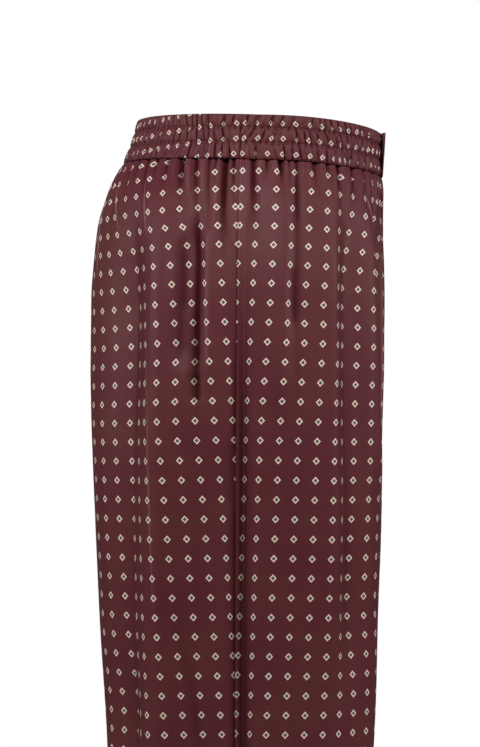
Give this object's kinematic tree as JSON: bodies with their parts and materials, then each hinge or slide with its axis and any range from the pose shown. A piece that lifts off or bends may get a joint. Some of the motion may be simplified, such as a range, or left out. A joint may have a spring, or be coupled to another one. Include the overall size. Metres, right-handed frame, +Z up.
{
  "type": "pyjama pants",
  "caption": "Long satin pyjama pants, filled out as if worn: gathered elastic waistband lapped left over right, fly front, straight legs with open hems.",
  "frame": {"origin": "middle of the waist opening, halfway up the waistband at the sides, where a wearer holds the pants up", "axes": "+Z up, +Y from front to back, +X from the wearer's right leg to the left leg"},
  "size_m": [0.3811, 0.2752, 1.0581],
  "materials": {
    "satin": "maroon silk satin with a small printed diamond repeat, soft sheen",
    "band_satin": "the same satin, gathered on elastic",
    "lap_satin": "the same satin, its dull reverse showing at the free end"
  },
  "bodies": {
    "root": {"leg_front_right": "satin", "leg_front_left": "satin", "leg_back_right": "satin", "leg_back_left": "satin", "waistband_front_right": "band_satin", "waistband_front_left": "band_satin", "waistband_back_right": "band_satin", "waistband_back_left": "band_satin", "waistband_overlap": "lap_satin", "fly_overlap": "satin"}
  },
  "joints": []
}
